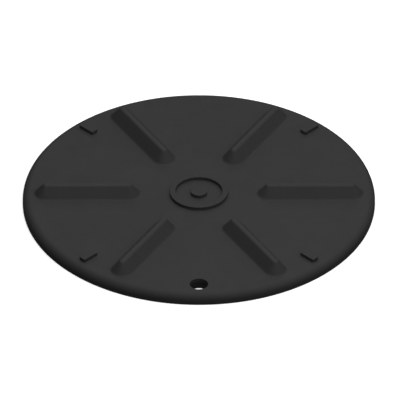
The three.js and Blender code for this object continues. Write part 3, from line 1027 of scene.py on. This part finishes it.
def fine_lines_group():
    """Grooves left by a tool or a die: bands across one coordinate, with a little unevenness."""
    inputs = {"Position": ("Float", 0.0), "Spacing": ("Float", 0.2 * MM), "Vector": ("Vector", None)}
    tree, given, result = new_group("tool_lines", inputs, {"Height": "Float"})
    turns = calc(tree, "DIVIDE", given["Position"], given["Spacing"])
    wobble = calc(tree, "MULTIPLY", noise(tree, given["Vector"], 400.0, 2.0), 1.5)
    wave = calc(tree, "SINE", calc(tree, "MULTIPLY", calc(tree, "ADD", turns, wobble), TAU))
    tree.links.new(wave, result["Height"])
    return tree


# ---------- Materials ----------


def grey(value, warmth=0.0):
    """A grey with a little more red and less blue, or the other way round if the warmth is negative."""
    return (value * (1 + warmth), value, value * (1 - warmth))


def shell_material(effects):
    """Satin black glass-filled moulding: fine grain, uneven gloss, rubbed raised edges, a trace of dust."""
    material, tree, shader, place = new_material("moulded_composite", **{"Specular IOR Level": 0.2})
    height = up_coordinate(tree, place)
    depth = use_group(tree, effects["mottle"], place, Scale=14.0)
    color = blend_colors(tree, depth, grey(0.0292), grey(0.0312))
    scratches = use_group(tree, effects["scratches"], place, Scale=55.0, Width=0.006)
    color = painted(tree, color, scratches, 0.35, grey(0.05))
    dust = use_group(tree, effects["dust"], place, Scale=10.0, Amount=0.02)
    color = blend_colors(tree, dust, color, grey(0.13, 0.08))
    raised = span(tree, height, DECK + 1 * MM, DECK + 3 * MM)
    edges = use_group(tree, effects["wear"], place, Radius=1.2 * MM, Breakup=350.0)
    rubbed = calc(tree, "MULTIPLY", edges, raised)
    color = painted(tree, color, rubbed, 0.6, grey(0.055, 0.02))
    tree.links.new(color, shader.inputs["Base Color"])
    gloss = use_group(tree, effects["mottle"], place, Scale=38.0, Low=0.68, High=0.72)
    crest = span(tree, height, DECK + 0.75 * RIB_HEIGHT, DECK + RIB_HEIGHT, 0.0, 0.05)
    gloss = calc(tree, "SUBTRACT", gloss, crest)
    tree.links.new(calc(tree, "ADD", gloss, calc(tree, "MULTIPLY", dust, 1.5)), shader.inputs["Roughness"])
    relief(tree, shader, use_group(tree, effects["grain"], place, Scale=900.0), 0.03 * MM)
    return material


def plate_material(effects):
    """Matt pressed sheet composite: pale fibres in swirls under a dark resin skin, with slow flow marks."""
    material, tree, shader, place = new_material("pressed_composite")
    flow = use_group(tree, effects["mottle"], place, Scale=14.0)
    color = blend_colors(tree, flow, grey(0.027, -0.03), grey(0.032, -0.03))
    fibres = use_group(tree, effects["scratches"], place, Scale=140.0, Width=0.03)
    color = painted(tree, color, fibres, 0.5, grey(0.075, 0.02))
    edges = use_group(tree, effects["wear"], place, Radius=0.8 * MM, Breakup=400.0)
    color = painted(tree, color, edges, 0.7, grey(0.10, 0.03))
    tree.links.new(color, shader.inputs["Base Color"])
    gloss = use_group(tree, effects["mottle"], place, Scale=30.0, Low=0.60, High=0.70)
    tree.links.new(gloss, shader.inputs["Roughness"])
    orange_peel = noise(tree, place, 220.0, 2.0)
    grain = use_group(tree, effects["grain"], place, Scale=1400.0)
    surface = calc(tree, "ADD", calc(tree, "MULTIPLY", grain, 0.3), orange_peel)
    relief(tree, shader, surface, 0.08 * MM)
    return material


def galvanised_material(effects):
    """Hot-dip galvanised steel: crystals of zinc with their own tone and gloss, dulled in patches."""
    material, tree, shader, place = new_material("galvanised_steel", Metallic=1.0)
    crystals = add_node(tree, "ShaderNodeTexVoronoi", {"Vector": place, "Scale": 130.0, "Randomness": 1.0})
    tone = add_node(tree, "ShaderNodeSeparateColor", {0: crystals.outputs["Color"]}).outputs[0]
    color = blend_colors(tree, tone, grey(0.40, -0.03), grey(0.58, -0.03))
    dull = use_group(tree, effects["mottle"], place, Scale=22.0)
    color = painted(tree, color, dull, 0.4, grey(0.36, -0.01))
    tree.links.new(color, shader.inputs["Base Color"])
    gloss = calc(tree, "ADD", span(tree, tone, 0.0, 1.0, 0.34, 0.50), calc(tree, "MULTIPLY", dull, 0.12))
    tree.links.new(gloss, shader.inputs["Roughness"])
    runs = noise(tree, place, 90.0, 4.0, 0.5)
    relief(tree, shader, calc(tree, "ADD", runs, calc(tree, "MULTIPLY", tone, 0.2)), 0.10 * MM)
    return material


def foam_material(effects):
    """Rigid closed-cell foam: small round cells with painted shade in their hollows, cream with a browner
    skin.
    """
    material, tree, shader, place = new_material("closed_cell_foam")
    cells = add_node(tree, "ShaderNodeTexVoronoi", {"Vector": place, "Scale": 750.0}).outputs["Distance"]
    skin = use_group(tree, effects["mottle"], place, Scale=16.0)
    color = blend_colors(tree, skin, (0.70, 0.62, 0.42), (0.58, 0.47, 0.28))
    # Painted shade: a darker brown at the bottoms of the cell hollows that the bump below makes.
    painted_pit_shade = span(tree, cells, 0.5, 0.1)
    color = painted(tree, color, painted_pit_shade, 0.3, (0.40, 0.31, 0.17))
    tree.links.new(color, shader.inputs["Base Color"])
    tree.links.new(span(tree, skin, 0.0, 1.0, 0.95, 0.85), shader.inputs["Roughness"])
    relief(tree, shader, cells, 0.5 * MM)
    return material


def lathe_position(tree, place):
    """Radius from the piece's own axis plus height, for lines round every turned face, and that radius."""
    radius = add_node(tree, "ShaderNodeAttribute", attribute_name="own_radius").outputs["Fac"]
    return calc(tree, "ADD", radius, up_coordinate(tree, place)), radius


def brass_material(effects):
    """Turned brass, with lathe lines and brown tarnish in patches."""
    material, tree, shader, place = new_material("turned_brass", Metallic=1.0)
    tarnish = use_group(tree, effects["mottle"], place, Scale=160.0)
    color = blend_colors(tree, tarnish, (0.62, 0.42, 0.16), (0.40, 0.25, 0.10))
    edges = use_group(tree, effects["wear"], place, Radius=0.3 * MM, Breakup=900.0)
    color = painted(tree, color, edges, 0.6, (0.78, 0.58, 0.26))
    tree.links.new(color, shader.inputs["Base Color"])
    tree.links.new(span(tree, tarnish, 0.0, 1.0, 0.28, 0.48), shader.inputs["Roughness"])
    position = lathe_position(tree, place)[0]
    relief(tree, shader, use_group(tree, effects["lines"], place, Position=position), 0.006 * MM)
    return material


def screw_material(effects):
    """Stainless steel: lathe lines, water stains, and dirt with painted shade that darken it towards its
    axis, down in the socket.
    """
    material, tree, shader, place = new_material("stainless_steel", Metallic=1.0)
    stain = use_group(tree, effects["mottle"], place, Scale=240.0)
    color = blend_colors(tree, stain, grey(0.38, 0.02), grey(0.26, 0.05))
    position, radius = lathe_position(tree, place)
    # Painted shade: towards the axis the colour darkens and the surface roughens, as dirt and as the shade
    # that falls down in the socket; it also reaches the thread roots and the tip.
    socket_grime_and_shade = span(tree, radius, 2.6 * MM, 2.0 * MM, 0.0, 0.55)
    color = blend_colors(tree, socket_grime_and_shade, color, grey(0.08, 0.2))
    tree.links.new(color, shader.inputs["Base Color"])
    gloss = calc(tree, "ADD", span(tree, stain, 0.0, 1.0, 0.26, 0.42), calc(tree, "MULTIPLY", socket_grime_and_shade, 0.4))
    tree.links.new(gloss, shader.inputs["Roughness"])
    relief(tree, shader, use_group(tree, effects["lines"], place, Position=position), 0.005 * MM)
    return material


def sleeve_material(effects):
    """Black extruded polyethylene: draw lines along the tube, waxy gloss and rubbed ends."""
    material, tree, shader, place = new_material("extruded_polyethylene")
    tone = use_group(tree, effects["mottle"], place, Scale=45.0)
    color = blend_colors(tree, tone, grey(0.012), grey(0.020))
    edges = use_group(tree, effects["wear"], place, Radius=0.8 * MM, Breakup=500.0)
    color = painted(tree, color, edges, 0.5, grey(0.06))
    tree.links.new(color, shader.inputs["Base Color"])
    gloss = use_group(tree, effects["mottle"], place, Scale=110.0, Low=0.42, High=0.58)
    tree.links.new(gloss, shader.inputs["Roughness"])
    draw = noise(tree, stretched(tree, place, (1.0, 1.0, 0.03)), 1100.0, 3.0)
    relief(tree, shader, draw, 0.05 * MM)
    return material


def rubber_material(effects):
    """Matt black rubber with a faint grey bloom."""
    material, tree, shader, place = new_material("moulded_rubber")
    bloom = use_group(tree, effects["mottle"], place, Scale=60.0)
    color = blend_colors(tree, bloom, grey(0.014), grey(0.030))
    tree.links.new(color, shader.inputs["Base Color"])
    tree.links.new(span(tree, bloom, 0.0, 1.0, 0.72, 0.9), shader.inputs["Roughness"])
    relief(tree, shader, use_group(tree, effects["grain"], place, Scale=1600.0), 0.03 * MM)
    return material


def floor_material():
    """Plain white, bright enough of itself to stay pale under dim lights, and clear when seen from below."""
    material, tree, shader, _ = new_material("studio_floor", Roughness=0.9)
    white = (1.0, 1.0, 1.0, 1.0)
    base = (0.9, 0.9, 0.9, 1.0)
    feed(tree, shader.inputs, {"Base Color": base, "Emission Color": white, "Emission Strength": 0.5})
    back = tree.nodes.new("ShaderNodeNewGeometry").outputs["Backfacing"]
    clear = tree.nodes.new("ShaderNodeBsdfTransparent").outputs["BSDF"]
    either = add_node(tree, "ShaderNodeMixShader", {0: back, 1: shader.outputs["BSDF"], 2: clear})
    tree.links.new(either.outputs["Shader"], tree.nodes["Material Output"].inputs["Surface"])
    return material


def finish_nodes(prefix, material):
    """Gives a material to every carried-over node of a kind."""
    for name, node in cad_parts.items():
        if name.startswith(prefix):
            for place in node.material_slots:
                place.material = material


# ---------- Stage ----------

FLOOR_HALF = 30.0
FLOOR_DROP = 0.05 * MM  # keeps the floor just clear of the seat
TOP_POWER = 65.0
SIDE_POWER = 25.0
CORNER_POWER = 15.0
UNDER_POWER = 60.0
LIGHT_SIZE = 3.0
LIGHT_DISTANCE = 3.5
SURROUND_LIGHT = 0.07


def make_floor():
    """A large square just below the seat, which throws no light and no shade."""
    points = FLOOR_HALF * np.array(((-1.0, -1.0, 0.0), (1.0, -1.0, 0.0), (1.0, 1.0, 0.0), (-1.0, 1.0, 0.0)))
    floor = mesh_object("floor", (points, np.array(((0, 1, 2), (0, 2, 3)))))
    floor.location.z = -FLOOR_DROP
    floor.data.materials.append(floor_material())
    floor.visible_diffuse = False
    floor.visible_glossy = False
    floor.visible_shadow = False


def area_light(name, size, energy, direction, distance):
    """A square soft light that faces the cover from a direction."""
    data = bpy.data.lights.new(name, "AREA")
    data.shape = "SQUARE"
    data.size = size
    data.energy = energy
    light = bpy.data.objects.new(name, data)
    bpy.context.scene.collection.objects.link(light)
    way = Vector(direction).normalized()
    light.location = way * distance
    light.rotation_euler = way.to_track_quat("Z", "Y").to_euler()


def make_lights():
    """Wide soft lights above the cover, the strongest overhead, and one below it for its underside."""
    soft_lights = {
        "top_light": ((0.0, 0.0, 1.0), TOP_POWER),
        "back_light": ((0.0, 1.0, 1.0), SIDE_POWER),
        "front_light": ((0.0, -1.0, 1.0), SIDE_POWER),
        "right_light": ((1.0, 0.0, 1.0), SIDE_POWER),
        "corner_light": ((1.0, -1.0, 1.0), CORNER_POWER),
        "under_light": ((0.0, 0.8, -1.0), UNDER_POWER),
    }
    for name, (direction, power) in soft_lights.items():
        area_light(name, LIGHT_SIZE, power, direction, LIGHT_DISTANCE)
    bpy.context.scene.view_settings.view_transform = "Standard"


def make_world():
    """A white backdrop that lights the cover only dimly."""
    world = bpy.data.worlds.new("world")
    world.use_nodes = True
    tree = world.node_tree
    seen = tree.nodes.new("ShaderNodeLightPath").outputs["Is Camera Ray"]
    background = tree.nodes["Background"]
    background.inputs["Color"].default_value = (1.0, 1.0, 1.0, 1.0)
    tree.links.new(calc(tree, "MAXIMUM", seen, SURROUND_LIGHT), background.inputs["Strength"])
    bpy.context.scene.world = world


make_camera()
effects = {
    "grain": grain_group(),
    "mottle": mottle_group(),
    "scratches": scratch_group(),
    "wear": wear_group(),
    "dust": dust_group(),
    "lines": fine_lines_group(),
}
galvanised = galvanised_material(effects)
make_top_shell(shell_material(effects))
make_bottom_plate(plate_material(effects))
make_screws(screw_material(effects), brass_material(effects))
make_hub(galvanised)
make_ring(galvanised)
make_spokes(galvanised)
make_sleeve(sleeve_material(effects))
make_seal(rubber_material(effects))
finish_nodes("core_sector", foam_material(effects))
make_floor()
make_lights()
make_world()
